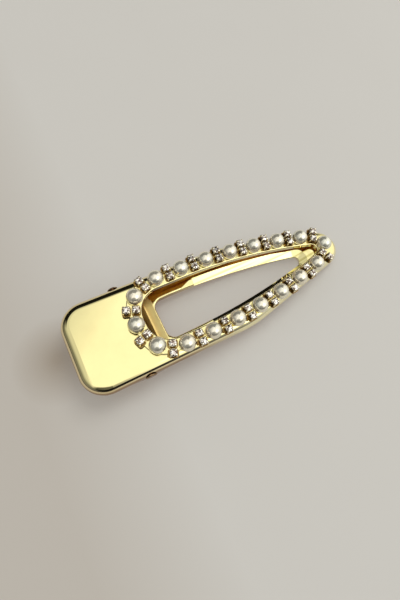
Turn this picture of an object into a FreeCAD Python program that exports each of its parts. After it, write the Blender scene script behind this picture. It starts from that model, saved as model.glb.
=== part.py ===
import FreeCAD, Part
import math
import os

from FreeCAD import Placement, Rotation, Vector

# A hinged hair clip with a band of pearls and stones round a drop-shaped opening.
#
# It is modelled in the top plate's frame: x runs from the squeeze end to the tip, y across it and
# z up, with the origin at the centre of the rounded tip, on the plate's top face. At the end the
# closed clip is laid on a table, on its lower handle and on the belly of its jaw. The origin is
# then on the table, below the middle of the clip.
#
# Lengths are in millimetres and angles in degrees.

# top plate
plate_length = 74.5
plate_width = 22.5
plate_corner_radius = 6.0
tip_radius = 5.0
shoulder_distance = 27.0  # from the centre of the tip back to where the sides start to close in
shoulder_radius = 36.0
sheet = 0.6
rim_radius = 2.3
rim_depth = 2.5

# opening in the top plate, and the band round it
opening_back_distance = 17.8  # from the plate's squeeze end to the opening
opening_tip_distance = 7.1  # from the plate's tip to the opening
opening_tip_radius = 1.4
opening_straight = 12.2  # from its back to where its sides start to curve in
opening_end_flat = 1.5
band_thickness = 0.6
band_inside = 2.1  # from the opening's edge to the line of the pearls
band_outside = 0.6  # from the line of the pearls to the band's outer edge
band_margin = 2.0  # from the plate's side to the band's outer edge
band_corner_radius = 6.0
band_round = 0.25  # along the band's top edges

# pearls, half drilled and glued on the band's pegs
pearl_count = 18
pearl_diameter = 4.0
pearl_sink = 1.4  # how much of each pearl's height is ground away to make its flat back
peg_diameter = 0.8
peg_height = 1.2
glue_gap = 0.02

# stones, two to a double claw setting
stone_diameter = 2.0
stone_spacing = 2.2
stone_shift = 0.2  # how far a pair sits outside the line of the pearls
stone_girdle = 0.12
stone_crown = 0.27
stone_pavilion = 0.55
table_share = 0.6  # the table's diameter over the stone's
girdle_height = 1.25
cup_wall = 0.2
cup_floor = 0.15
claw_diameter = 0.4
claw_over = 0.22  # how far a claw rises above the girdle
claws_per_stone = 4
seat_gap = 0.01

# hinge
hinge_distance = 14.3  # from the plate's squeeze end to the pin
pin_drop = 2.3  # from the plate's top face to the pin's centre
pin_diameter = 1.4
head_diameter = 2.6
head_height = 0.3
head_round = 0.2
bore_gap = 0.03
lower_ear_radius = 1.15
upper_ear_radius = 1.9
upper_ear_foot = 4.5
upper_ear_corner = 1.6
ear_gap = 0.8
flange_front = 21.0  # how far the lower ears run out along the jaw
flange_back = 4.5

# lower lever
jaw_end_margin = 2.0  # how far the handle stops short of the plate's squeeze end
jaw_corner_radius = 5.0
jaw_tip_margin = 2.2
jaw_tip_flat = 3.0
jaw_ramp = 5.5
jaw_belly = 36.6
belly_drop = 3.2  # from the plate's top face to the jaw's belly
belly_fall = 0.5  # how much lower the back of the belly is than its front
hinge_drop = 4.9
handle_drop = 8.8
handle_bend_back = 0.8  # how far behind the pin the handle starts to slope down
bend_radius = 12.0
tip_gap = 0.15
jaw_lip = 1.35  # how far the jaw shows inside the plate's opening
jaw_opening_back = 4.2  # how far the jaw's opening starts in front of the plate's
jaw_opening_tip = 3.8  # how far it ends behind the plate's
jaw_opening_tip_radius = 1.5
jaw_opening_straight = 3.6
jaw_opening_corner = 2.2
lip_reach = 2.6  # how far from its opening the jaw's sheet starts to turn down
lip_run = 1.9  # how far the shallow lip along the front of the opening slopes, across
lip_drop = 0.65  # and down
back_lip_radius = 0.5  # of the tight, deep lip round the back of the opening
back_lip_depth = 1.4
back_lip_length = 11.5  # from the back of the opening to where the wide lip takes over

# torsion spring
wire_diameter = 0.6
coil_gap = 0.15
coil_turns = 8.5
coil_pitch = 0.66
spring_touch = 0.02
upper_arm_length = 8.5
lower_arm_length = 9.5
joint_ball_share = 1.12

# worked out from the sizes above
half_width = plate_width / 2
plate_back = tip_radius - plate_length
hinge = Vector(plate_back + hinge_distance, 0, -pin_drop)
band_width = band_inside + band_outside
opening_half_width = half_width - band_margin - band_width
opening = {
    "back": plate_back + opening_back_distance,
    "half_width": opening_half_width,
    "corner": opening_half_width - opening_end_flat / 2,
    "straight": opening_straight,
    "tip": tip_radius - opening_tip_distance,
    "tip_radius": opening_tip_radius,
}
jaw_opening = {
    "back": opening["back"] + jaw_opening_back,
    "half_width": opening["half_width"] - jaw_lip,
    "corner": jaw_opening_corner,
    "straight": jaw_opening_straight,
    "tip": opening["tip"] - jaw_opening_tip,
    "tip_radius": jaw_opening_tip_radius,
}
jaw_half_width = half_width - sheet - ear_gap
pearl_radius = pearl_diameter / 2
stone_radius = stone_diameter / 2
coil_radius = pin_diameter / 2 + coil_gap + wire_diameter / 2
across = Vector(0, 1, 0)
upwards = Vector(0, 0, 1)
tiny = 1e-6
outline_miss = 1e-3
fineness = 0.01
upward_share = 0.3
x_axis = Vector(1, 0, 0)


# ---- outlines ----


# One rounded corner of a path: where its arc starts, its middle, its end and its centre.
def corner_arc(before, corner, after, radius):
    to_before = (before - corner).normalize()
    to_after = (after - corner).normalize()
    half_angle = to_before.getAngle(to_after) / 2
    bisector = (to_before + to_after).normalize()
    reach = radius / math.tan(half_angle)
    centre = corner + bisector * (radius / math.sin(half_angle))
    return corner + to_before * reach, centre - bisector * radius, corner + to_after * reach, centre


# Lines joined by tangent arcs, in the plane z = 0, through (x, y, radius) corners.
def rounded_path(corners, closed):
    points = [Vector(x, y, 0) for x, y, radius in corners]
    count = len(points)
    arcs = {}
    for i, (x, y, radius) in enumerate(corners):
        inner = closed or 0 < i < count - 1
        if inner and radius > 0:
            arcs[i] = corner_arc(points[i - 1], points[i], points[(i + 1) % count], radius)
    edges = []
    for i in range(count if closed else count - 1):
        j = (i + 1) % count
        start = arcs[i][2] if i in arcs else points[i]
        end = arcs[j][0] if j in arcs else points[j]
        if (end - start).Length > tiny:
            edges.append(Part.LineSegment(start, end).toShape())
        if j in arcs:
            edges.append(Part.Arc(*arcs[j][:3]).toShape())
    return edges


# The outline that both levers share: parallel sides that close in on a rounded tip.
def lever_outline(back, side, corner, tip, radius):
    shoulder = -shoulder_distance
    centre = tip - radius
    span = math.hypot(centre - shoulder, side)
    slope = math.atan2(side, centre - shoulder) - math.asin(radius / span)
    apex = shoulder + side / math.tan(slope)
    corners = [
        (back, -side, corner),
        (shoulder, -side, shoulder_radius),
        (apex, 0, radius),
        (shoulder, side, shoulder_radius),
        (back, side, corner),
    ]
    return Part.Wire(rounded_path(corners, closed=True))


# A drop: a flat end, parallel sides, long arcs and a small round tip. The edges start at the tip
# and run by the +y side. "outward" gives the same drop grown by that much all round. The long
# arcs touch the sides where the straight part ends, and the tip's round from outside.
def drop_edges(drop, outward=0.0):
    side = drop["half_width"] + outward
    tip_arc = drop["tip_radius"] + outward
    corner = drop["corner"] + outward
    back = drop["back"] - outward
    centre = Vector(drop["tip"] - drop["tip_radius"], 0, 0)
    run = centre.x - drop["back"] - drop["straight"]
    side_radius = (run**2 + side**2 - tip_arc**2) / (2 * (side - tip_arc))
    drop_of_centre = side_radius - side
    side_centre = Vector(centre.x - run, -drop_of_centre, 0)
    turn = math.atan2(drop_of_centre, run)

    def on_tip(angle):
        return centre + Vector(math.cos(angle), math.sin(angle), 0) * tip_arc

    def on_side(angle):
        return side_centre + Vector(math.cos(angle), math.sin(angle), 0) * side_radius

    bend = on_side(math.pi / 2)
    halfway = on_side((turn + math.pi / 2) / 2)
    half = [
        Part.Arc(on_tip(0), on_tip(turn / 2), on_tip(turn)).toShape(),
        Part.Arc(on_side(turn), halfway, bend).toShape(),
    ]
    end = [
        (bend.x, side, 0),
        (back, side, corner),
        (back, -side, corner),
        (bend.x, -side, 0),
    ]
    other_half = [
        Part.Arc(mirrored(bend), mirrored(halfway), mirrored(on_side(turn))).toShape(),
        Part.Arc(mirrored(on_tip(turn)), mirrored(on_tip(turn / 2)), on_tip(0)).toShape(),
    ]
    return half + rounded_path(end, closed=False) + other_half


def mirrored(point):
    return Vector(point.x, -point.y, point.z)


# The point at a distance along a chain of edges, and the direction away from the opening there.
def place_along(edges, distance):
    for edge in edges:
        if distance <= edge.Length:
            break
        distance -= edge.Length
    parameter = edge.getParameterByLength(min(distance, edge.Length))
    along = edge.tangentAt(parameter)
    return edge.valueAt(parameter), Vector(along.y, -along.x, 0)


# How far along the edges lies the point that is one straight step from the point at "distance".
def step_along(edges, distance, step):
    here = place_along(edges, distance)[0]
    near = distance
    far = distance + 2 * step
    while far - near > tiny:
        middle = (near + far) / 2
        if (place_along(edges, middle)[0] - here).Length < step:
            near = middle
        else:
            far = middle
    return near


# Distances along a closed line of beads that lie an equal straight step apart. The line is
# symmetric, so half of the beads reach its far end.
def bead_distances(edges, count):
    total = sum(edge.Length for edge in edges)
    low = 0.5 * total / count
    high = total / count
    while high - low > tiny:
        step = (low + high) / 2
        distance = 0
        for i in range(count // 2):
            distance = step_along(edges, distance, step)
        if distance < total / 2:
            low = step
        else:
            high = step
    distances = [0]
    for i in range(count // 2):
        distances.append(step_along(edges, distances[-1], high))
    return distances + [total - d for d in distances[-2:0:-1]]


# ---- solids ----


def slab(edges_or_wire, low, high):
    wire = edges_or_wire if isinstance(edges_or_wire, Part.Wire) else Part.Wire(edges_or_wire)
    face = Part.Face(wire)
    face.translate(Vector(0, 0, low))
    return face.extrude(Vector(0, 0, high - low))


# A slab whose top edge is rounded over.
def lid(wire, low, high, radius):
    block = slab(wire, low, high)
    top_edges = [e for e in block.Edges if all(abs(v.Z - high) < tiny for v in e.Vertexes)]
    return block.makeFillet(radius, top_edges)


# A flat drawing in x and z, given as x and y, turned upright and extruded across.
def upright(edges, low, high):
    face = Part.Face(Part.Wire(edges))
    face.rotate(Vector(0, 0, 0), x_axis, 90)
    face.translate(Vector(0, low, 0))
    return face.extrude(Vector(0, high - low, 0))


def rod(start, end, diameter):
    run = end - start
    return Part.makeCylinder(diameter / 2, run.Length, start, run)


def pin_bore():
    reach = across * plate_width
    return rod(hinge - reach, hinge + reach, pin_diameter + 2 * bore_gap)


def both_sides(low, high):
    return [(low, high), (-high, -low)]


# ---- upper lever ----


def top_plate():
    outline = lever_outline(plate_back, half_width, plate_corner_radius, tip_radius, tip_radius)
    inside = outline.makeOffset2D(-sheet)
    outer = lid(outline, -rim_depth, 0, rim_radius)
    hollow = lid(inside, -rim_depth - sheet, -sheet, rim_radius - sheet)
    shell = outer.cut(hollow)
    for low, high in both_sides(half_width - sheet, half_width):
        shell = shell.fuse(upper_ear(low, high))
    shell = shell.cut(slab(drop_edges(opening), -rim_depth, sheet))
    return shell.cut(pin_bore()).removeSplitter()


# A tab of the rim's wall that hangs down round the pin.
def upper_ear(low, high):
    top = -(rim_radius + rim_depth) / 2
    bottom = -pin_drop - upper_ear_radius
    corners = [
        (hinge.x - upper_ear_foot, top, 0),
        (hinge.x - upper_ear_radius, bottom, upper_ear_corner),
        (hinge.x + upper_ear_radius, bottom, upper_ear_corner),
        (hinge.x + upper_ear_foot, top, 0),
    ]
    return upright(rounded_path(corners, closed=True), low, high)


def band_outline():
    squarer = dict(opening)
    squarer["corner"] = band_corner_radius - band_width
    return drop_edges(squarer, band_width)


def band_strip(pearl_places):
    ring = slab(band_outline(), 0, band_thickness).cut(slab(drop_edges(opening), -sheet, pearl_diameter))
    top_edges = [e for e in ring.Edges if all(abs(v.Z - band_thickness) < tiny for v in e.Vertexes)]
    strip = ring.makeFillet(band_round, top_edges)
    for place, outward in pearl_places:
        foot = place + upwards * (band_thickness - glue_gap)
        strip = strip.fuse(rod(foot, foot + upwards * (peg_height + glue_gap), peg_diameter))
    return strip


# Modelled with its flat back on z = 0.
def pearl():
    centre = upwards * (pearl_diameter - pearl_sink - pearl_radius)
    ball = Part.makeSphere(pearl_radius, centre)
    flat_back = Part.makeBox(pearl_diameter, pearl_diameter, pearl_diameter)
    flat_back.translate(Vector(-pearl_radius, -pearl_radius, 0))
    drilled = rod(upwards * -glue_gap, upwards * (peg_height + glue_gap), peg_diameter + 2 * glue_gap)
    return ball.common(flat_back).cut(drilled)


# A round stone with its girdle's middle at z = 0, or the seat it needs when grown by a gap.
def stone(gap=0.0):
    girdle = stone_girdle / 2 + gap
    radius = stone_radius + gap
    table = stone_radius * table_share + gap
    top = girdle + stone_crown
    bottom = -girdle - stone_pavilion
    points = [
        Vector(0, 0, bottom),
        Vector(radius, 0, -girdle),
        Vector(radius, 0, girdle),
        Vector(table, 0, top),
        Vector(0, 0, top),
        Vector(0, 0, bottom),
    ]
    return Part.Face(Part.makePolygon(points)).revolve(Vector(0, 0, 0), upwards, 360)


def stone_centres():
    return [Vector(offset, 0, girdle_height) for offset in (-stone_spacing / 2, stone_spacing / 2)]


# Two cups side by side along x on a common foot, each with its claws bent over the stone.
def setting():
    cup_radius = stone_radius
    rim = girdle_height - stone_girdle / 2
    foot = Part.makeBox(stone_spacing, cup_radius, cup_floor)
    foot.translate(Vector(-stone_spacing / 2, -cup_radius / 2, 0))
    body = foot
    for centre in stone_centres():
        base = Vector(centre.x, 0, 0)
        cup = Part.makeCylinder(cup_radius, rim, base)
        bore = Part.makeCylinder(cup_radius - cup_wall, rim, base + upwards * cup_floor)
        body = body.fuse(cup.cut(bore))
    for centre in stone_centres():
        for i in range(claws_per_stone):
            body = body.fuse(claw(centre, 360 * (i + 0.5) / claws_per_stone))
    for centre in stone_centres():
        seat = stone(seat_gap)
        seat.translate(centre)
        body = body.cut(seat)
    return body


def claw(centre, angle):
    turn = math.radians(angle)
    outward = Vector(math.cos(turn), math.sin(turn), 0)
    foot = Vector(centre.x, 0, 0) + outward * stone_radius
    top = foot + upwards * (girdle_height + claw_over)
    return rod(foot, top, claw_diameter).fuse(Part.makeSphere(claw_diameter / 2, top))


def stone_pair():
    stones = []
    for centre in stone_centres():
        one = stone()
        one.translate(centre)
        stones.append(one)
    return Part.makeCompound(stones)


# A copy of something modelled on z = 0 with its x axis pointing outward, set on the band.
def on_band(shape, place, outward):
    turn = Rotation(x_axis, outward)
    return shape.transformed(Placement(place + upwards * band_thickness, turn).toMatrix())


# ---- hinge ----


def hinge_pin():
    reach = half_width + glue_gap
    pin = rod(hinge - across * reach, hinge + across * reach, pin_diameter)
    for side in (-1, 1):
        face = hinge + across * (side * reach)
        head = rod(face, face + across * (side * head_height), head_diameter)
        rim_edges = [e for e in head.Edges if abs(abs(e.CenterOfMass.y) - reach - head_height) < tiny]
        pin = pin.fuse(head.makeFillet(head_round, rim_edges))
    return pin.removeSplitter()


# The coil is wound round the pin. Its upper arm presses on the plate and its lower arm on the
# handle, and both run back from the coil.
def torsion_spring():
    height = coil_turns * coil_pitch
    helix = Part.makeHelix(coil_pitch, height, coil_radius)
    section = Part.Wire(Part.makeCircle(wire_diameter / 2, Vector(coil_radius, 0, 0), across))
    coil = Part.Wire(helix).makePipeShell([section], True, True)
    coil.rotate(Vector(0, 0, 0), x_axis, 90)
    coil.rotate(Vector(0, 0, 0), across, -90)
    coil.translate(hinge + across * (height / 2))
    ball = joint_ball_share * wire_diameter / 2
    start = hinge + Vector(0, height / 2, coil_radius)
    upper_rest = -sheet - wire_diameter / 2 - spring_touch
    upper_end = Vector(hinge.x - upper_arm_length, start.y, upper_rest)
    end = hinge + Vector(0, -height / 2, -coil_radius)
    lower_x = hinge.x - lower_arm_length
    clear = (wire_diameter / 2 + spring_touch) / math.cos(handle_slope())
    lower_end = Vector(lower_x, end.y, handle_height(lower_x) + clear)
    spring = coil
    for root, arm_end in ((start, upper_end), (end, lower_end)):
        spring = spring.fuse(Part.makeSphere(ball, root))
        spring = spring.fuse(rod(root, arm_end, wire_diameter))
    return spring


# ---- lower lever ----


def handle_bend():
    return Vector(hinge.x - handle_bend_back, -hinge_drop, 0)


def handle_end():
    return Vector(plate_back + jaw_end_margin, -handle_drop, 0)


def handle_slope():
    run = handle_bend() - handle_end()
    return math.atan2(run.y, run.x)


# Height of the handle's top face at x, behind its bend.
def handle_height(x):
    return handle_end().y + (x - handle_end().x) * math.tan(handle_slope())


# The top face of the lower lever from the handle's end to the tip, drawn as x and z.
def jaw_corners():
    tip = tip_radius - jaw_tip_margin
    front = tip - jaw_tip_flat - jaw_ramp
    top = -sheet - tip_gap
    return [
        handle_end(),
        handle_bend(),
        Vector(front - jaw_belly, -belly_drop - belly_fall, 0),
        Vector(front, -belly_drop, 0),
        Vector(tip - jaw_tip_flat, top, 0),
        Vector(tip, top, 0),
    ]


# The same path moved down by a distance, corner by corner.
def lowered(points, distance):
    result = []
    for i, point in enumerate(points):
        before = (point - points[i - 1]).normalize() if i > 0 else None
        after = (points[i + 1] - point).normalize() if i < len(points) - 1 else None
        first = before or after
        second = after or before
        normal = Vector(first.y + second.y, -first.x - second.x, 0).normalize()
        half_turn = first.getAngle(second) / 2
        result.append(point + normal * (distance / math.cos(half_turn)))
    return result


def turns_up(points, i):
    before = points[i] - points[i - 1]
    after = points[i + 1] - points[i]
    return before.cross(after).z > 0


# Corners with their bend radii, at a depth below the lever's top face.
def bent_corners(depth):
    points = jaw_corners()
    corners = []
    for i, point in enumerate(lowered(points, depth)):
        if 0 < i < len(points) - 1:
            radius = bend_radius + (depth if turns_up(points, i) else sheet - depth)
        else:
            radius = 0
        corners.append((point.x, point.y, radius))
    return corners


def jaw_profile(top, bottom):
    return rounded_path(bent_corners(top) + bent_corners(bottom)[::-1], closed=True)


# Where the lines from two points over a circle, each just touching it, meet above it.
def tangents_meet(left, right, centre, radius):
    to_left = centre - left
    to_right = centre - right
    left_slope = math.tan(math.atan2(to_left.y, to_left.x) + math.asin(radius / to_left.Length))
    right_slope = math.tan(math.atan2(to_right.y, to_right.x) - math.asin(radius / to_right.Length))
    x = (right.y - left.y + left_slope * left.x - right_slope * right.x) / (left_slope - right_slope)
    return Vector(x, left.y + left_slope * (x - left.x), 0)


# The ears stand up from the sheet's sides and run out along the jaw as low flanges.
def lower_ear(low, high):
    bottom = bent_corners(sheet)
    ceiling = 2 * rim_depth
    above = rounded_path(bottom + [(bottom[-1][0], ceiling, 0), (bottom[0][0], ceiling, 0)], closed=True)
    foot = -hinge_drop - 2 * sheet
    back = Vector(hinge.x - flange_back, foot, 0)
    front = Vector(hinge.x + flange_front, -belly_drop - belly_fall, 0)
    peak = tangents_meet(back, front, Vector(hinge.x, hinge.z, 0), lower_ear_radius)
    flange = [
        (back.x, back.y, 0),
        (peak.x, peak.y, lower_ear_radius),
        (front.x, front.y, 0),
        (front.x, foot, 0),
    ]
    ear = upright(rounded_path(flange, closed=True), low, high)
    return ear.common(upright(above, low, high))


# The jaw's sheet made thicker, from one depth to another, round a hole that may be a little wider
# than the real opening.
def thick_border(top, bottom, hole_outward):
    around = slab(drop_edges(jaw_opening, lip_reach), -2 * handle_drop, 0)
    around = around.cut(slab(drop_edges(jaw_opening, hole_outward), -2 * handle_drop, 0))
    return upright(jaw_profile(top, bottom), -half_width, half_width).common(around)


# The edges of a solid's upper faces that lie right above or below an outline drawn at z = 0.
def top_edges_at(solid, outline):
    found = []
    for face in solid.Faces:
        if not faces_up(face):
            continue
        for edge in face.Edges:
            middle = edge.valueAt((edge.FirstParameter + edge.LastParameter) / 2)
            if Part.Vertex(middle.x, middle.y, 0).distToShape(outline)[0] < outline_miss:
                found.append(edge)
    return found


def faces_up(face):
    u_low, u_high, v_low, v_high = face.ParameterRange
    return face.normalAt((u_low + u_high) / 2, (v_low + v_high) / 2).z > upward_share


# A bevel of two sizes: across the top face and down the wall. The first size that makeChamfer
# takes is the one on whichever of an edge's two faces comes first in the solid.
def bevelled(solid, edges, run, drop):
    first = next(face for face in solid.Faces if any(edge.isSame(edges[0]) for edge in face.Edges))
    sizes = (run, drop) if faces_up(first) else (drop, run)
    return solid.makeChamfer(*sizes, edges)


# The jaw's border round its opening: a wide, shallow lip in front and a tight, deep one behind.
def opening_lips():
    hole = Part.Wire(drop_edges(jaw_opening))

    def sloping(top):
        thick = thick_border(top, top + lip_drop + sheet, 0)
        return bevelled(thick, top_edges_at(thick, hole), lip_run, lip_drop)

    wide = sloping(0).cut(sloping(sheet))
    deep = thick_border(0, back_lip_depth, 0)
    tight = deep.makeFillet(back_lip_radius, top_edges_at(deep, hole))
    tight = tight.cut(thick_border(sheet, back_lip_depth + sheet, sheet))
    change = jaw_opening["back"] + back_lip_length
    front = Part.makeBox(plate_length, plate_width, 2 * handle_drop)
    front.translate(Vector(change, -half_width, -2 * handle_drop))
    return wide.common(front).fuse(tight.cut(front))


def lower_jaw():
    tip = tip_radius - jaw_tip_margin
    outline = lever_outline(handle_end().x - sheet, jaw_half_width, jaw_corner_radius, tip, tip)
    body = upright(jaw_profile(0, sheet), -half_width, half_width)
    body = body.common(slab(outline, -2 * handle_drop, sheet))
    for low, high in both_sides(jaw_half_width - sheet, jaw_half_width):
        body = body.fuse(lower_ear(low, high))
    body = body.cut(slab(drop_edges(jaw_opening, lip_reach), -2 * handle_drop, 0))
    return body.fuse(opening_lips()).cut(pin_bore()).removeSplitter()


# ---- laid on the table ----


# The slope of the table under the closed clip: it touches the handle's end and the lowest edge of
# the jaw in front of the hinge.
def table_slope(jaw):
    heel = lowered(jaw_corners(), sheet)[0]
    front = [p for p in jaw.tessellate(fineness)[0] if p.x > hinge.x]
    return math.degrees(min(math.atan2(p.z - heel.y, p.x - heel.x) for p in front))


def table_placement(plate, jaw):
    turn = Placement(Vector(0, 0, 0), Rotation(across, table_slope(jaw)))
    turned_plate = plate.transformed(turn.toMatrix()).optimalBoundingBox()
    turned_jaw = jaw.transformed(turn.toMatrix()).optimalBoundingBox()
    middle = (turned_plate.XMin + turned_plate.XMax) / 2
    return Placement(Vector(-middle, 0, -turned_jaw.ZMin), turn.Rotation)


def main():
    pearl_line = drop_edges(opening, band_inside)
    beads = bead_distances(pearl_line, pearl_count)
    pearl_places = [place_along(pearl_line, bead) for bead in beads]
    line_length = sum(edge.Length for edge in pearl_line)
    pieces = {
        "top_plate": top_plate(),
        "band_strip": band_strip(pearl_places),
        "hinge_pin": hinge_pin(),
        "torsion_spring": torsion_spring(),
        "lower_jaw": lower_jaw(),
    }
    one_pearl = pearl()
    one_setting = setting()
    one_pair = stone_pair()
    for i in range(pearl_count):
        number = f"{i + 1:02d}"
        place, outward = pearl_places[i]
        pieces[f"pearl_{number}"] = on_band(one_pearl, place, outward)
        between = (beads[i] + (beads + [line_length])[i + 1]) / 2
        place, outward = place_along(pearl_line, between)
        place = place + outward * stone_shift
        pieces[f"setting_{number}"] = on_band(one_setting, place, outward)
        pieces[f"stones_{number}"] = on_band(one_pair, place, outward)

    placement = table_placement(pieces["top_plate"], pieces["lower_jaw"])
    os.makedirs("parts", exist_ok=True)
    for name, shape in pieces.items():
        shape.transformed(placement.toMatrix()).exportStep(f"parts/{name}.step")
    print("pearls", [(round(p.x, 2), round(p.y, 2)) for p, outward in pearl_places[: pearl_count // 2 + 1]])
    print("table slope", round(table_slope(pieces["lower_jaw"]), 4))
    print("placement", [round(v, 4) for v in placement.Base])
    print("hinge", [round(v, 4) for v in placement.multVec(hinge)])


main()
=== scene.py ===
import bpy
import bmesh
import math
import random
from mathutils import Matrix, Quaternion, Vector


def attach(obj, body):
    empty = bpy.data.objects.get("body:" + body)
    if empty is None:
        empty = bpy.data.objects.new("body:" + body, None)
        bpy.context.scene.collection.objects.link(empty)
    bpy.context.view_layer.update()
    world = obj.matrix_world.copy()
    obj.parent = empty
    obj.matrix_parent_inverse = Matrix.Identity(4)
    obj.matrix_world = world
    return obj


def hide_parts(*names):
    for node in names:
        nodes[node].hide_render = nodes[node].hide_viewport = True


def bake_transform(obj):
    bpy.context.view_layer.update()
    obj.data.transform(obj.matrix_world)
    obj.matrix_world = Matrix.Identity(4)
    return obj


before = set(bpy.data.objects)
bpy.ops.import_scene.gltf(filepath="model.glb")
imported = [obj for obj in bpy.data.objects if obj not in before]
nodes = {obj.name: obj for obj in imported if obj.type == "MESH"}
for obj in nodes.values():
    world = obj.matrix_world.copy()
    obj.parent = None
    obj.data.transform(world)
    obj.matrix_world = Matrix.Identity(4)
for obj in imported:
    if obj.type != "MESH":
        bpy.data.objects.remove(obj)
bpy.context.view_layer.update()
print("frame loaded:", len(nodes), "nodes")

mm = 0.001
scene = bpy.context.scene
scene.view_settings.view_transform = "Standard"


class Value:
    # a socket that can be used in sums, such as 1 - mask * 0.5
    def __init__(self, shade, socket):
        self.shade = shade
        self.socket = socket

    def maths(self, operation, other):
        return self.shade.node("ShaderNodeMath", {"operation": operation}, {0: self, 1: other})

    def flipped(self, operation, other):
        return self.shade.node("ShaderNodeMath", {"operation": operation}, {0: other, 1: self})

    def __add__(self, other):
        return self.maths("ADD", other)

    def __radd__(self, other):
        return self.maths("ADD", other)

    def __sub__(self, other):
        return self.maths("SUBTRACT", other)

    def __rsub__(self, other):
        return self.flipped("SUBTRACT", other)

    def __mul__(self, other):
        return self.maths("MULTIPLY", other)

    def __rmul__(self, other):
        return self.maths("MULTIPLY", other)

    def __truediv__(self, other):
        return self.maths("DIVIDE", other)

    def __pow__(self, other):
        return self.maths("POWER", other)


class Shading:
    # one node tree, of a material or of the world
    def __init__(self, owner):
        owner.use_nodes = True
        self.tree = owner.node_tree
        self.tree.nodes.clear()

    def node(self, kind, settings=None, inputs=None, output=0):
        made = self.tree.nodes.new(kind)
        for name, value in (settings or {}).items():
            if name == "stops":
                self.setStops(made.color_ramp, value)
            else:
                setattr(made, name, value)
        for name, value in (inputs or {}).items():
            socket = made.inputs[name]
            if isinstance(value, Value):
                self.tree.links.new(value.socket, socket)
            else:
                socket.default_value = value
        made.location = (len(self.tree.nodes) * 40, 0)
        return Value(self, made.outputs[output]) if made.outputs else None

    def setStops(self, ramp, stops):
        while len(ramp.elements) > 1:
            ramp.elements.remove(ramp.elements[-1])
        for number, (place, colour) in enumerate(stops):
            stop = ramp.elements[0] if number == 0 else ramp.elements.new(place)
            stop.position = place
            stop.color = (*colour, 1)

    def split(self, vector):
        made = self.tree.nodes.new("ShaderNodeSeparateXYZ")
        self.tree.links.new(vector.socket, made.inputs[0])
        return [Value(self, socket) for socket in made.outputs]

    def place(self):
        return self.node("ShaderNodeTexCoord", output="Object")

    def noise(self, place, scale, detail, rough):
        inputs = {"Vector": place, "Scale": scale, "Detail": detail, "Roughness": rough}
        return self.node("ShaderNodeTexNoise", None, inputs, "Fac")

    def stretched(self, place, scale, turn=(0.0, 0.0, 0.0)):
        inputs = {"Vector": place, "Rotation": turn, "Scale": scale}
        return self.node("ShaderNodeMapping", None, inputs)

    def ramp(self, value, stops):
        return self.node("ShaderNodeValToRGB", {"stops": stops}, {"Fac": value}, "Color")

    def level(self, value, low, high, toLow=0.0, toHigh=1.0):
        # from toLow where the value is low to toHigh where it is high, and level outside them
        inputs = {"Value": value, 1: low, 2: high, 3: toLow, 4: toHigh}
        return self.node("ShaderNodeMapRange", {"clamp": True}, inputs, "Result")

    def blendColour(self, share, first, second):
        # sockets 6 and 7 and output 2 are the node's colour ones
        inputs = {"Factor": share, 6: first, 7: second}
        return self.node("ShaderNodeMix", {"data_type": "RGBA"}, inputs, 2)

    def bump(self, height, strength, distance):
        inputs = {"Height": height, "Strength": strength, "Distance": distance}
        return self.node("ShaderNodeBump", None, inputs, "Normal")

    def finish(self, inputs):
        surface = self.node("ShaderNodeBsdfPrincipled", None, inputs)
        self.node("ShaderNodeOutputMaterial", None, {"Surface": surface})


def newMaterial(name):
    material = bpy.data.materials.new(name)
    return material, Shading(material)


# the clip's own frame: x runs to the tip, z stands up from the plate, as the plate lies
lever = {
    "slope": 4.6913,  # degrees that it leans, as the clip lies on the table
    "base": (32.3344 * mm, 0.0, 3.8421 * mm),
    "bandTop": 0.6 * mm,  # the face that the pearls stand on
}
leverToWorld = Matrix.Translation(lever["base"]) @ Matrix.Rotation(math.radians(lever["slope"]), 4, "Y")


gold = {
    "colour": (0.95, 0.85, 0.41, 1),
    "dull": (0.92, 0.80, 0.38, 1),
    "roughness": 0.03,
    "smudge": (90, 4, 0.6),  # the noise's scale, detail and roughness
    "smudgeFrom": (0.45, 0.75),
    "smudgeRough": 0.06,
    "scratch": (120, 2400, 300),  # how the hairlines are stretched, before they are turned
    "scratchNoise": (1, 3, 0.55),
    "scratchTurn": (0.0, 0.0, 0.5),
    "scratchFrom": (0.58, 0.72),
    "scratchRough": 0.05,
    "ripple": (160, 2, 0.4),
    "rippleDepth": 0.00003,
    "drawn": (20, 900, 20),  # the marks of rolling run along the clip
    "drawnNoise": (1, 2, 0.5),
    "line": (0.58, 0.50, 0.16, 1),
    "lineFrom": (0.48, 0.60),
    "edge": (0.98, 0.84, 0.52, 1),  # painted reflection: the rounded edges are tinted paler, as their grazing reflection is paler
    "edgeFacing": (0.85, 0.75),  # how much such a face looks up
    "wall": (0.40, 0.27, 0.16, 1),  # painted shade: the sides are coloured dark brown for the shaded table that they mirror
    "wallFacing": (0.58, 0.42),
    "tipEdge": (1.0, 0.93, 0.60, 1),  # painted light: both are brighter toward the tip
    "tipFrom": (-0.014, 0.002),
    "bandFootShade": (0.17, 0.14, 0.05, 1),  # painted shade: the foot of the pearls' band is coloured near black, where the gap under it is in shadow
    # painted shade: the faces that look down are coloured dark to orange brown, and are satin
    "under": [
        (0.36, (0.06, 0.015, 0.005)), (0.44, (0.45, 0.12, 0.03)),
        (0.52, (0.74, 0.36, 0.09)), (0.68, (0.82, 0.47, 0.14)),
    ],
    "underFacing": (-0.2, -0.5),
    "underMetal": 0.35,
    "underRoughness": 0.5,
}


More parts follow.
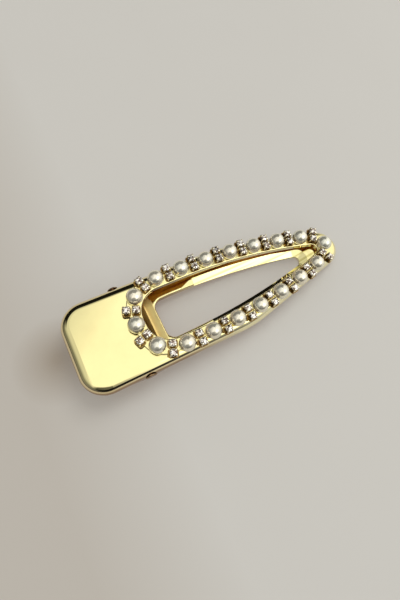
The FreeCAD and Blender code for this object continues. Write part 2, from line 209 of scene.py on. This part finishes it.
def goldPlating(name, wall, lines=0.0):
    material, shade = newMaterial(name)
    where = shade.place()
    facing = shade.split(shade.node("ShaderNodeTexCoord", output="Normal"))[2]
    smudges = shade.level(shade.noise(where, *gold["smudge"]), *gold["smudgeFrom"])
    turned = shade.stretched(where, gold["scratch"], gold["scratchTurn"])
    hair = shade.level(shade.noise(turned, *gold["scratchNoise"]), *gold["scratchFrom"])
    drawing = shade.noise(shade.stretched(where, gold["drawn"]), *gold["drawnNoise"])
    under = shade.level(facing, *gold["underFacing"])
    towardTip = shade.level(shade.split(where)[0], *gold["tipFrom"])
    colour = shade.blendColour(smudges, gold["colour"], gold["dull"])
    if lines:
        colour = shade.blendColour(shade.level(drawing, *gold["lineFrom"]) * lines, colour, gold["line"])
    # painted light: rims and sides brighter toward the tip
    edge = shade.blendColour(towardTip, gold["edge"], gold["tipEdge"])
    # painted reflection: a paler tint on the sloping rims
    colour = shade.blendColour(shade.level(facing, *gold["edgeFacing"]), colour, edge)
    wall = shade.blendColour(towardTip, wall, gold["tipEdge"])
    # painted shade on the sides, which look out sideways
    colour = shade.blendColour(shade.level(facing, *gold["wallFacing"]), colour, wall)
    # painted shade on the faces that look down
    colour = shade.blendColour(under, colour, shade.ramp(drawing, gold["under"]))
    rough = gold["roughness"] + smudges * gold["smudgeRough"] + hair * gold["scratchRough"]
    rough = rough + under * (gold["underRoughness"] - rough)
    metal = 1 - under * (1 - gold["underMetal"])
    normal = shade.bump(shade.noise(where, *gold["ripple"]), 1.0, gold["rippleDepth"])
    shade.finish({"Base Color": colour, "Metallic": metal, "Roughness": rough, "Normal": normal})
    return material


clawFinish = {
    "bright": (0.96, 0.89, 0.68, 1),
    "deep": (0.30, 0.19, 0.06, 1),  # painted shade: darker low down between the cups, where shade falls
    # painted shade: the cups are coloured darker all over, as they stand in shade, and darkest at the
    # foot
    "cupShadeTop": (0.52, 0.42, 0.22, 1),
    "cupShadeFoot": (0.10, 0.06, 0.02, 1),
    "litAndPolishedFrom": (0.3, 1.0),  # from none to all, mm over the band's face
    "uneven": (900, 3, 0.6),
    "unevenBy": 0.2,  # mm
    "roughness": 0.22,
    "polishTakes": 0.14,  # off the roughness
}


def shadedClawGold(name, deep, bright):
    material, shade = newMaterial(name)
    where = shade.place()
    x, y, z = shade.split(where)
    slope = math.radians(lever["slope"])
    # height over the band's face, measured square to the plate
    height = (x - lever["base"][0]) * math.sin(slope) + (z - lever["base"][2]) * math.cos(slope)
    height = (height - lever["bandTop"]) * (1 / mm)
    rub = (shade.noise(where, *clawFinish["uneven"]) - 0.5) * clawFinish["unevenBy"]
    # painted shade: the colour darkens toward the band's face, and the roughness rises there too
    litAndPolished = shade.level(height + rub, *clawFinish["litAndPolishedFrom"])
    colour = shade.blendColour(litAndPolished, deep, bright)
    rough = clawFinish["roughness"] - litAndPolished * clawFinish["polishTakes"]
    shade.finish({"Base Color": colour, "Metallic": 1.0, "Roughness": rough})
    return material


pearl = {
    "diameter": 4.0 * mm,
    "segments": 48,
    "rings": 32,
    "sink": 1.4 * mm,  # how much is ground off the bottom
    "edge": 0.12 * mm,
    "uneven": 0.012,  # how much they differ in size
    "colour": (0.94, 0.86, 0.67, 1),
    "cool": (0.82, 0.81, 0.66, 1),
    "cloud": (260, 3, 0.5),
    "cloudFrom": (0.35, 0.7),
    "cloudRough": 0.08,
    "grain": (700, 2, 0.5),
    "grainStrength": 0.6,
    "grainDepth": 0.00002,
    "metal": 0.70,
    "roughness": 0.14,
    "coat": 0.7,
    "coatRoughness": 0.06,
}


def pearlLustre():
    material, shade = newMaterial("pearlLustre")
    where = shade.place()
    cloud = shade.level(shade.noise(where, *pearl["cloud"]), *pearl["cloudFrom"])
    colour = shade.blendColour(cloud, pearl["colour"], pearl["cool"])
    grain = shade.noise(where, *pearl["grain"])
    shade.finish({
        "Base Color": colour, "Metallic": pearl["metal"],
        "Roughness": pearl["roughness"] + cloud * pearl["cloudRough"],
        "Coat Weight": pearl["coat"], "Coat Roughness": pearl["coatRoughness"],
        "Normal": shade.bump(grain, pearl["grainStrength"], pearl["grainDepth"]),
    })
    return material


stone = {
    "diameter": 1.8 * mm,
    "sides": 8,
    "spacing": 2.2 * mm,
    "turn": 0.35,  # radians, the two of a pair the opposite way
    "girdleHeight": 1.25 * mm,
    "girdle": 0.12 * mm,
    "crown": 0.27 * mm,
    "starShare": 0.80,
    "starHeight": 0.55,  # share of the crown
    "tableShare": 0.56,
    "pavilion": 0.55 * mm,
    "bellyShare": 0.55,
    "bellyHeight": 0.45,  # share of the pavilion
    "pointShare": 0.04,
    "glint": 2300,  # how fine the painted sparkle, for the reflections broken inside a stone, is
    # painted sparkle: the stone's colour runs in small cells from near black to white, for light broken
    # inside the glass
    "paintedSparkle": [
        (0.0, (0.05, 0.03, 0.02)), (0.30, (0.18, 0.11, 0.07)), (0.44, (0.60, 0.50, 0.40)),
        (0.62, (0.93, 0.88, 0.78)), (1.0, (1.0, 0.98, 0.93)),
    ],
    "facetStrength": 0.5,
    "facetDepth": 0.00006,
    "metal": 0.85,  # stands for the foil behind the glass
    "roughness": 0.05,
    "coatRoughness": 0.02,
}


def crystalGlass():
    material, shade = newMaterial("crystalGlass")
    inputs = {"Vector": shade.place(), "Scale": stone["glint"]}
    # the cells of painted sparkle
    sparkleCells = shade.split(shade.node("ShaderNodeTexVoronoi", None, inputs, "Color"))[0]
    shade.finish({
        "Base Color": shade.ramp(sparkleCells, stone["paintedSparkle"]), "Metallic": stone["metal"],
        "Roughness": stone["roughness"], "Coat Weight": 1.0,
        "Coat Roughness": stone["coatRoughness"],
        "Normal": shade.bump(sparkleCells, stone["facetStrength"], stone["facetDepth"]),
    })
    return material


steelFinish = {
    "first": (0.60, 0.58, 0.54, 1),
    "second": (0.42, 0.40, 0.37, 1),
    "grain": (1200, 3, 0.6),
    "grainFrom": (0.0, 1.0),
    "roughness": 0.22,
    "grainRough": 0.15,
}
pinFinish = {
    # the rivet is coloured dark brown, darker than the plating
    "first": (0.20, 0.12, 0.06, 1),
    "second": (0.42, 0.28, 0.14, 1),
    "grain": (1500, 4, 0.6),
    "grainFrom": (0.4, 0.65),
    "roughness": 0.18,
    "grainRough": 0.15,
}


def bareMetal(name, look):
    material, shade = newMaterial(name)
    grain = shade.level(shade.noise(shade.place(), *look["grain"]), *look["grainFrom"])
    colour = shade.blendColour(grain, look["first"], look["second"])
    rough = look["roughness"] + grain * look["grainRough"]
    shade.finish({"Base Color": colour, "Metallic": 1.0, "Roughness": rough})
    return material


def dress(piece, material):
    piece.data.materials.clear()
    piece.data.materials.append(material)


plating = goldPlating("paleGold", gold["wall"])
# the band's sides carry painted shade
shadedBand = goldPlating("shadedBandGold", gold["bandFootShade"])
lined = goldPlating("linedGold", gold["wall"], lines=0.8)
claws = shadedClawGold("shadedClawGold", clawFinish["deep"], clawFinish["bright"])
cups = shadedClawGold("shadedCupGold", clawFinish["cupShadeFoot"], clawFinish["cupShadeTop"])
pearly = pearlLustre()
crystal = crystalGlass()
finishes = {
    "torsion_spring": bareMetal("springSteel", steelFinish),
    "hinge_pin": bareMetal("darkPin", pinFinish),
    "band_strip": shadedBand,
    "lower_jaw": lined,
}
for name, node in nodes.items():
    dress(node, finishes.get(name, plating))
print("materials on")


def startPiece(name):
    # names what has just been added, and opens it for shaping with all of it selected
    piece = bpy.context.object
    piece.name = name
    bpy.ops.object.mode_set(mode="EDIT")
    bpy.ops.mesh.select_mode(type="FACE")
    bpy.ops.mesh.select_all(action="SELECT")
    return piece


def selectFaces(piece, wanted):
    # selects the faces for which wanted(centre, normal) is true
    bpy.ops.mesh.select_all(action="DESELECT")
    bm = bmesh.from_edit_mesh(piece.data)
    for face in bm.faces:
        face.select_set(wanted(face.calc_center_median(), face.normal))
    bmesh.update_edit_mesh(piece.data)


def selectPoints(piece, wanted):
    # selects the points for which wanted(place) is true, and all that they enclose
    bpy.ops.mesh.select_all(action="DESELECT")
    bm = bmesh.from_edit_mesh(piece.data)
    for point in bm.verts:
        point.select_set(wanted(point.co))
    bm.select_flush_mode()
    bmesh.update_edit_mesh(piece.data)


def endPiece(piece, smooth=None):
    bpy.ops.mesh.select_all(action="SELECT")
    bpy.ops.mesh.normals_make_consistent(inside=False)
    bpy.ops.object.mode_set(mode="OBJECT")
    bpy.ops.object.transform_apply(location=True, rotation=True, scale=True)
    if smooth is not None:
        bpy.ops.object.shade_smooth_by_angle(angle=math.radians(smooth))
    return piece


def pull(distance, share, turn=0.0):
    # the chosen faces go out by a distance along z, shrink to a share, and turn about z
    bpy.ops.mesh.extrude_region_move(TRANSFORM_OT_translate={"value": (0, 0, distance)})
    bpy.ops.transform.resize(value=(share, share, 1))
    if turn:
        bpy.ops.transform.rotate(value=turn, orient_axis="Z", center_override=(0, 0, 0))


def freshStart():
    if bpy.context.object and bpy.context.object.mode != "OBJECT":
        bpy.ops.object.mode_set(mode="OBJECT")
    bpy.ops.object.select_all(action="DESELECT")


def joined(pieces, name):
    freshStart()
    for piece in pieces:
        piece.select_set(True)
    bpy.context.view_layer.objects.active = pieces[0]
    bpy.ops.object.join()
    pieces[0].name = name
    return pieces[0]


def copyOf(piece, name, matrix):
    made = piece.copy()
    made.data = piece.data.copy()
    made.name = name
    scene.collection.objects.link(made)
    made.data.transform(matrix)
    return made


def cutStone():
    # a round brilliant: girdle, crown of two rings of facets, table, and pavilion to a point
    freshStart()
    half = math.pi / stone["sides"]
    radius = stone["diameter"] / 2
    bpy.ops.mesh.primitive_cylinder_add(
        vertices=stone["sides"] * 2, radius=radius, depth=stone["girdle"], location=(0, 0, 0))
    piece = startPiece("cutStone")
    star, belly = stone["starHeight"], stone["bellyHeight"]
    selectFaces(piece, lambda centre, normal: normal.z > 0.9)
    pull(stone["crown"] * star, stone["starShare"], half / 2)
    pull(stone["crown"] * (1 - star), stone["tableShare"] / stone["starShare"], half / 2)
    selectFaces(piece, lambda centre, normal: normal.z < -0.9)
    pull(-stone["pavilion"] * belly, stone["bellyShare"], half / 2)
    pull(-stone["pavilion"] * (1 - belly), stone["pointShare"], half / 2)
    bpy.ops.mesh.merge(type="CENTER")
    selectFaces(piece, lambda centre, normal: abs(normal.z) < 0.999)
    bpy.ops.mesh.quads_convert_to_tris()
    return endPiece(piece)


setting = {
    "sides": 24,
    "cupRadius": 0.90 * mm,
    "cupFoot": 0.66 * mm,
    "waist": 0.94,  # share of the foot's width, halfway up
    "gallery": 0.1 * mm,  # how far the ring at the foot stands out
    "galleryHeight": 0.16 * mm,
    "wall": 0.14 * mm,
    "seatDepth": 0.45,  # share of the cup's height
    "seatShare": 0.75,
    "claws": 4,
    "clawDiameter": 0.46 * mm,
    "clawOut": 0.3,  # how much of a claw's radius is outside the cup
    "clawRise": 0.05 * mm,  # where it starts to bend, over the girdle
    "clawOver": 0.34 * mm,  # about how far it stands over that
    "clawIn": 0.30 * mm,  # about how far its end is bent over the stone
    # shares of clawIn and of clawOver for each step of the bend, and how the step swells or shrinks
    "bend": [(0.35, 0.6, 1.1), (0.65, 0.4, 0.75), (0.2, 0.12, 0.45)],
    "plate": (2.1 * mm, 2.5 * mm, 0.16 * mm),
    "plateCorner": 0.6 * mm,
    "plateEdge": 0.1 * mm,
}


def clawCup():
    # a tapered cup with a gallery ring at its foot and a seat for the stone
    freshStart()
    low = setting["galleryHeight"]
    foot = setting["cupFoot"] + setting["gallery"]
    rise = stone["girdleHeight"] - stone["girdle"] / 2 - low
    bpy.ops.mesh.primitive_cylinder_add(
        vertices=setting["sides"], radius=foot, depth=low, location=(0, 0, low / 2))
    piece = startPiece("clawCup")
    selectFaces(piece, lambda centre, normal: normal.z > 0.9)
    bpy.ops.mesh.inset(thickness=setting["gallery"])
    pull(rise * 0.5, setting["waist"])
    pull(rise * 0.5, setting["cupRadius"] / (setting["cupFoot"] * setting["waist"]))
    bpy.ops.mesh.inset(thickness=setting["wall"])
    pull(-rise * setting["seatDepth"], setting["seatShare"])
    cup = endPiece(piece, 35)
    dress(cup, cups)
    others = [footPlate()]
    for number in range(setting["claws"]):
        others.append(bentClaw(2 * math.pi * (number + 0.5) / setting["claws"]))
    for part in others:
        dress(part, claws)
    return joined([cup, *others], "clawCup")


def footPlate():
    # each cup stands on a thin plate with rounded corners
    freshStart()
    long, wide, thick = setting["plate"]
    bpy.ops.mesh.primitive_cube_add(size=1, location=(0, 0, thick / 2), scale=(long, wide, thick))
    bpy.ops.object.transform_apply(location=True, rotation=True, scale=True)
    piece = startPiece("footPlate")
    bpy.ops.mesh.select_mode(type="EDGE")
    bpy.ops.mesh.select_all(action="DESELECT")
    bm = bmesh.from_edit_mesh(piece.data)
    for edge in bm.edges:
        run = edge.verts[0].co - edge.verts[1].co
        edge.select_set(abs(run.z) > 0.9 * run.length)
    bmesh.update_edit_mesh(piece.data)
    bpy.ops.mesh.bevel(offset=setting["plateCorner"], segments=3, affect="EDGES")
    bpy.ops.mesh.select_mode(type="FACE")
    selectFaces(piece, lambda centre, normal: normal.z > 0.9)
    bpy.ops.mesh.inset(thickness=setting["plateEdge"])
    return endPiece(piece, 30)


def bentClaw(turn):
    freshStart()
    radius = setting["clawDiameter"] / 2
    out = setting["cupRadius"] + radius * setting["clawOut"]
    tall = stone["girdleHeight"] + setting["clawRise"]
    bpy.ops.mesh.primitive_cylinder_add(
        vertices=10, radius=radius, depth=tall, location=(out, 0, tall / 2))
    piece = startPiece("claw")
    selectFaces(piece, lambda centre, normal: normal.z > 0.9)
    for inward, upward, share in setting["bend"]:
        step = (-setting["clawIn"] * inward, 0, setting["clawOver"] * upward)
        bpy.ops.mesh.extrude_region_move(TRANSFORM_OT_translate={"value": step})
        bpy.ops.transform.resize(value=(share, share, 1))
    bpy.ops.mesh.select_all(action="SELECT")
    bpy.ops.transform.rotate(value=turn, orient_axis="Z", center_override=(0, 0, 0))
    return endPiece(piece, 60)


def halfDrilledPearl():
    # a ball whose bottom is ground flat, so that it sits on the band
    freshStart()
    radius = pearl["diameter"] / 2
    high = pearl["diameter"] - pearl["sink"] - radius
    bpy.ops.mesh.primitive_uv_sphere_add(
        segments=pearl["segments"], ring_count=pearl["rings"], radius=radius, location=(0, 0, high))
    piece = startPiece("pearl")
    bpy.ops.mesh.bisect(plane_co=(0, 0, 0), plane_no=(0, 0, -1), use_fill=True, clear_outer=True)
    selectFaces(piece, lambda centre, normal: normal.z < -0.99)
    bpy.ops.mesh.inset(thickness=pearl["edge"])
    bpy.ops.mesh.inset(thickness=pearl["edge"] * 3)
    return endPiece(piece, 60)


def flatPlace(node):
    # where a piece stands on the band and which way its long side lies, in the clip's own frame
    back = leverToWorld.inverted()
    points = [back @ corner.co for corner in nodes[node].data.vertices]
    low = Vector([min(point[i] for point in points) for i in range(3)])
    high = Vector([max(point[i] for point in points) for i in range(3)])
    middle = (low + high) / 2
    long = sum((point.x - middle.x) ** 2 - (point.y - middle.y) ** 2 for point in points)
    cross = sum(2 * (point.x - middle.x) * (point.y - middle.y) for point in points)
    turn = math.atan2(cross, long) / 2
    return Matrix.Translation((middle.x, middle.y, lever["bandTop"])) @ Matrix.Rotation(turn, 4, "Z")


def placePieces(pattern, prefix, material=None, vary=0.0):
    # one copy of the pattern in the place of each CAD piece of that kind
    chance = random.Random(7)
    for name in sorted(node for node in nodes if node.startswith(prefix)):
        matrix = leverToWorld @ flatPlace(name)
        if vary:
            sizes = [1 - chance.random() * vary for _ in range(3)]
            matrix = matrix @ Matrix.Diagonal((*sizes, 1))
        piece = copyOf(pattern, f"{name}_made", matrix)
        if material:
            dress(piece, material)
        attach(piece, "upper_lever")
        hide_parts(name)
    bpy.data.objects.remove(pattern)
    print(prefix, "placed")


def doubled(single, name, height=0.0, turn=0.0):
    pair = []
    for side in (-1, 1):
        shift = Matrix.Translation((side * stone["spacing"] / 2, 0, height))
        pair.append(copyOf(single, name, shift @ Matrix.Rotation(turn * side, 4, "Z")))
    bpy.data.objects.remove(single)
    return joined(pair, name)


placePieces(halfDrilledPearl(), "pearl", pearly, pearl["uneven"])
stonePair = doubled(cutStone(), "stonePair", stone["girdleHeight"], stone["turn"])
placePieces(stonePair, "stones", crystal)
placePieces(doubled(clawCup(), "cupPair"), "setting")


roll = {
    # a bead of thin sheet rolled over the back of the jaw's opening, under the plate's edge
    "place": (-51.7 * mm, 0.0, -4.524 * mm),  # on the jaw's top face, in the clip's own frame
    "lean": 5.06,  # degrees that the jaw rises toward the tip
    "half": 7.6 * mm,  # half its length, which lies across the jaw
    "start": -1.4 * mm,  # where its section starts, back from that place
    "section": [  # length along the jaw in mm, and how steeply it rises in degrees
        (0.25, 60), (0.9, 58), (0.25, 40), (0.65, 9), (0.60, 6), (0.12, 4), (0.12, 0), (0.12, -6),
        (0.12, -13), (0.12, -22), (0.12, -31), (0.12, -39), (0.3, -45), (0.55, -48), (0.85, -48),
        (0.2, -14),
    ],
    "sunk": 0.06 * mm,  # how far its back edge and its ends go into the jaw
    "flatTo": 4.4 * mm,  # half the length over which it keeps its full height
    "across": 24,
    "sheet": 0.25 * mm,
    "smooth": 30,
    # satin, with painted shade: darker toward the back where it goes under the plate
    "back": (0.90, 0.50, 0.08, 1),
    "front": (1.0, 0.84, 0.36, 1),
    "shades": (-0.0195, -0.0165),  # where along the clip the one turns into the other
    "metal": 0.65,
    "roughness": 0.3,
}


def satinGold():
    material, shade = newMaterial("satinGold")
    along = shade.split(shade.place())[0]
    # painted shade: darker toward the back, under the plate
    colour = shade.blendColour(shade.level(along, *roll["shades"]), roll["back"], roll["front"])
    shade.finish({"Base Color": colour, "Metallic": roll["metal"], "Roughness": roll["roughness"]})
    return material


def jawBead():
    freshStart()
    rows = len(roll["section"])
    columns = roll["across"]
    bpy.ops.mesh.primitive_grid_add(
        x_subdivisions=rows, y_subdivisions=columns, size=1, location=(0, 0, 0))
    piece = startPiece("jawBead")
    bpy.ops.mesh.select_mode(type="VERT")
    along, high = roll["start"], -roll["sunk"]
    places = [(along, high)]
    for run, climb in roll["section"]:
        along += run * mm
        high += run * mm * math.tan(math.radians(climb))
        places.append((along, high))
    for row, (along, high) in enumerate(places):
        # the fourth row already lies at 0, so it moves with the ninth as well and stands up as a fold
        selectLine(piece, 0, row / rows - 0.5)
        bpy.ops.transform.translate(value=(along - row / rows + 0.5, 0, high))
    for column in range(columns + 1):
        side = column / columns - 0.5
        selectLine(piece, 1, side)
        # the bead sinks back into the sheet toward both of its ends
        far = abs(side) * 2 * roll["half"]
        ease = max(0, min(1, (roll["half"] - far) / (roll["half"] - roll["flatTo"])))
        ease = ease * ease * (3 - 2 * ease)
        bpy.ops.transform.resize(value=(1, 1, ease), center_override=(0, 0, 0))
        bpy.ops.transform.translate(value=(0, 0, roll["sunk"] * (ease - 1)))
    bpy.ops.mesh.select_all(action="SELECT")
    bpy.ops.transform.resize(value=(1, roll["half"] * 2, 1), center_override=(0, 0, 0))
    endPiece(piece)
    thicken = piece.modifiers.new("sheet", "SOLIDIFY")
    thicken.thickness = roll["sheet"]
    thicken.offset = -1
    bpy.ops.object.modifier_apply(modifier="sheet")
    bpy.ops.object.shade_smooth_by_angle(angle=math.radians(roll["smooth"]))
    lean = Matrix.Rotation(-math.radians(roll["lean"]), 4, "Y")
    piece.data.transform(leverToWorld @ Matrix.Translation(roll["place"]) @ lean)
    dress(piece, satinGold())
    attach(piece, "lower_lever")
    print("bead on the jaw:", len(piece.data.polygons), "faces")


def selectLine(piece, axis, place):
    near = 0.1 * mm
    selectPoints(piece, lambda point: abs(point[axis] - place) < near)


jawBead()


ramp = {
    # where the wide slope along the far side of the jaw's opening starts, it runs up out of the sheet
    "end": (-36.0 * mm, 5.32 * mm, -3.63 * mm),  # at the opening's edge, in the clip's own frame
    "length": 3.6 * mm,
    "width": 1.55 * mm,
    "height": 0.53 * mm,
    "thin": 0.08,  # share of the height that is left at the opening's edge and at the start
    "narrow": 0.05,  # share of the width that is left at the start
    "turn": -1.2,
    "round": 0.01 * mm,
}


def slopeStart():
    freshStart()
    size = (ramp["length"], ramp["width"], ramp["height"])
    middle = (-size[0] / 2, size[1] / 2, size[2] / 2)
    bpy.ops.mesh.primitive_cube_add(size=1, location=middle, scale=size)
    bpy.ops.object.transform_apply(location=True, rotation=True, scale=True)
    piece = startPiece("slopeStart")
    bpy.ops.mesh.select_mode(type="VERT")
    selectPoints(piece, lambda point: point.y < middle[1] and point.z > middle[2])
    bpy.ops.transform.resize(value=(1, 1, ramp["thin"]), center_override=(0, 0, 0))
    selectPoints(piece, lambda point: point.x < middle[0])
    bpy.ops.transform.resize(value=(1, ramp["narrow"], ramp["thin"]), center_override=(0, 0, 0))
    bpy.ops.mesh.select_all(action="SELECT")
    bpy.ops.mesh.bevel(offset=ramp["round"], segments=2, affect="EDGES")
    endPiece(piece, 20)
    turned = Matrix.Rotation(math.radians(ramp["turn"]), 4, "Z")
    piece.data.transform(leverToWorld @ Matrix.Translation(ramp["end"]) @ turned)
    dress(piece, lined)
    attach(piece, "lower_lever")
    print("slope started:", len(piece.data.polygons), "faces")


slopeStart()


spring = {
    "pin": (-22.8688 * mm, 0.0, 6.0645 * mm),
    "arms": 2.6 * mm,  # each arm lies this far out or more, the upper one at +y and the lower one at -y
    "weld": 0.001 * mm,
    "smooth": 40,
}


def windingSpring():
    # a copy of the CAD spring, welded and smoothed, takes the CAD one's place
    freshStart()
    piece = copyOf(nodes["torsion_spring"], "windingSpring", Matrix.Identity(4))
    piece.parent = None
    piece.matrix_world = Matrix.Identity(4)
    piece.select_set(True)
    bpy.context.view_layer.objects.active = piece
    bpy.ops.mesh.customdata_custom_splitnormals_clear()
    bpy.ops.object.mode_set(mode="EDIT")
    bpy.ops.mesh.select_all(action="SELECT")
    bpy.ops.mesh.remove_doubles(threshold=spring["weld"])
    bpy.ops.object.mode_set(mode="OBJECT")
    bpy.ops.object.shade_smooth_by_angle(angle=math.radians(spring["smooth"]))
    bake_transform(piece)
    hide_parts("torsion_spring")
    print("spring winds:", len(piece.data.polygons), "faces")


windingSpring()


floor = {
    "size": 6.0,
    # painted shade: the floor is darker on the left and lighter on the right
    "left": (0.365, 0.345, 0.305, 1),
    "right": (0.475, 0.475, 0.445, 1),
    "leftTo": (-0.050, -0.022),
    "cloud": (30, 2, 0.5),
    "cloudShare": 0.1,
    "deep": (0.22, 0.185, 0.14, 1),
    "deepPlace": (-0.0415, 0.003, 0.0),  # painted shadow, beside the squeeze end
    "deepReach": (0.001, 0.011),
    "roughness": 0.55,
    "specular": 0.2,
    "glow": (0.15, 0.13, 0.108, 1),  # painted light: the floor glows, which keeps the shadow light and warm
}


def layFloor():
    freshStart()
    bpy.ops.mesh.primitive_plane_add(size=floor["size"], location=(0, 0, 0))
    plane = bpy.context.object
    plane.name = "floor"
    material, shade = newMaterial("paleFloor")
    where = shade.place()
    inputs = {0: where, 1: floor["deepPlace"]}
    away = shade.node("ShaderNodeVectorMath", {"operation": "DISTANCE"}, inputs, "Value")
    # painted shade: darker toward the left
    share = shade.level(shade.split(where)[0], *floor["leftTo"]) * (1 - floor["cloudShare"])
    share = share + shade.noise(where, *floor["cloud"]) * floor["cloudShare"]
    colour = shade.blendColour(share, floor["left"], floor["right"])
    # painted shadow: a dark patch beside the squeeze end
    colour = shade.blendColour(shade.level(away, *floor["deepReach"]), floor["deep"], colour)
    shade.finish({
        "Base Color": colour, "Roughness": floor["roughness"], "Specular IOR Level": floor["specular"],
        "Emission Color": floor["glow"], "Emission Strength": 1.0,
    })
    dress(plane, material)
    print("floor laid")


layFloor()


studio = {
    "keyPlace": (0.9, 0.5, 1.5),
    "keySize": 0.9,
    "keyPower": 12.0,
    "backdrop": 0.55,  # what the camera sees beyond the floor
    # plain light for everything that doesn't mirror, more of it from above and from the right
    "even": 0.56,
    "evenUp": 0.12,
    "evenRight": 0.06,
    # brightness of the walls that metal sees, low down on each side
    "right": 1.0,
    "left": 0.22,
    "near": 0.015,
    "far": 0.008,
    "skirting": (0.05, 0.16),  # left and near are darker still where they meet the table
    "rightTop": (0.0, 0.4),  # how high up each wall turns into the ceiling
    "leftTop": (0.5, 0.84),
    "nearTop": (0.44, 0.50),
    # the far side is a dark room, between these turns in radians counted from the tip's way
    "farStart": (0.45, 0.75),
    "farEnd": (2.5, 2.2),
    "farTurn": (0.8, 1.8),  # its top comes down from the one height to the other between these
    "farHigh": (0.87, 0.77),
    "farSoft": (-0.03, 0.04),
    "ceiling": 1.18,
    "dim": 0.46,  # how much darker the ceiling is over the squeeze end's far side
    "dimTilt": 0.82,
    "dimFrom": (0.25, 0.42),
    "window": 1.15,
    "windowToward": (0.48, -0.45, 0.70),
    "windowEdge": (0.925, 0.965),
    "maker": 0.88,  # how much of the light the dark shape beside the window takes away
    "makerToward": (-0.38, -0.74, 0.55),
    "makerEdge": (0.87, 0.94),
}


def wallsAndCeiling(shade, x, y, z):
    # how bright a mirror sees each direction: the walls low down and the ceiling above them,
    # with a window and a dark shape
    def facing(way):
        toward = Vector(way).normalized()
        return x * toward.x + y * toward.y + z * toward.z

    flat = (x * x + y * y).maths("MAXIMUM", 0.0001)
    rightShare = x.maths("MAXIMUM", 0) ** 2 / flat
    leftShare = x.maths("MINIMUM", 0) ** 2 / flat
    sideShare = 1 - rightShare - leftShare
    skirting = shade.level(z, *studio["skirting"])
    wall = (leftShare * studio["left"] + sideShare * studio["near"]) * skirting
    wall = rightShare * studio["right"] + wall
    upness = sideShare * shade.level(z, *studio["nearTop"])
    upness = upness + leftShare * shade.level(z, *studio["leftTop"])
    upness = upness + rightShare * shade.level(z, *studio["rightTop"])
    ceiling = shade.level(y - x * studio["dimTilt"], *studio["dimFrom"]) * studio["dim"]
    seen = wall + upness * (studio["ceiling"] - ceiling - wall)
    maker = shade.level(facing(studio["makerToward"]), *studio["makerEdge"])
    seen = seen * (1 - maker * studio["maker"])
    turn = y.maths("ARCTAN2", x)
    farTop = shade.level(turn, *studio["farTurn"], *studio["farHigh"])
    dark = shade.level(farTop - z, *studio["farSoft"])
    dark = dark * shade.level(turn, *studio["farStart"]) * shade.level(turn, *studio["farEnd"])
    seen = seen + dark * (studio["far"] - seen)
    window = shade.level(facing(studio["windowToward"]), *studio["windowEdge"])
    return seen + window * studio["window"]


def lightStudio():
    world = bpy.data.worlds.new("studio")
    scene.world = world
    shade = Shading(world)
    x, y, z = shade.split(shade.node("ShaderNodeTexCoord", output="Generated"))
    seen = wallsAndCeiling(shade, x, y, z)
    even = studio["even"] + z * studio["evenUp"] + x * studio["evenRight"]
    path = shade.tree.nodes.new("ShaderNodeLightPath")
    glossy = Value(shade, path.outputs["Is Glossy Ray"])
    camera = Value(shade, path.outputs["Is Camera Ray"])
    strength = even + glossy * (seen - even)
    strength = strength + camera * (studio["backdrop"] - strength)
    back = shade.node("ShaderNodeBackground", None, {"Color": (1, 1, 1, 1), "Strength": strength})
    shade.node("ShaderNodeOutputWorld", None, {"Surface": back})
    freshStart()
    bpy.ops.object.light_add(type="AREA", location=studio["keyPlace"])
    lamp = bpy.context.object
    lamp.name = "key"
    lamp.data.size = studio["keySize"]
    lamp.data.energy = studio["keyPower"]
    lamp.rotation_euler = (-Vector(studio["keyPlace"])).to_track_quat("-Z", "Y").to_euler()
    lamp.visible_glossy = False
    print("studio lit")


lightStudio()


lens = {
    "place": (-0.0206581, -0.0210229, 0.0818942),
    "turn": (0.9600694, 0.1513397, -0.0662415, -0.2257767),
    "length": 19.8,
    "nearest": 0.005,
    "farthest": 20,
}


def setCamera():
    data = bpy.data.cameras.new("camera")
    camera = bpy.data.objects.new("camera", data)
    scene.collection.objects.link(camera)
    data.lens = lens["length"]
    data.clip_start = lens["nearest"]
    data.clip_end = lens["farthest"]
    camera.location = lens["place"]
    camera.rotation_mode = "QUATERNION"
    camera.rotation_quaternion = Quaternion(lens["turn"])
    scene.camera = camera
    print("camera set")


setCamera()
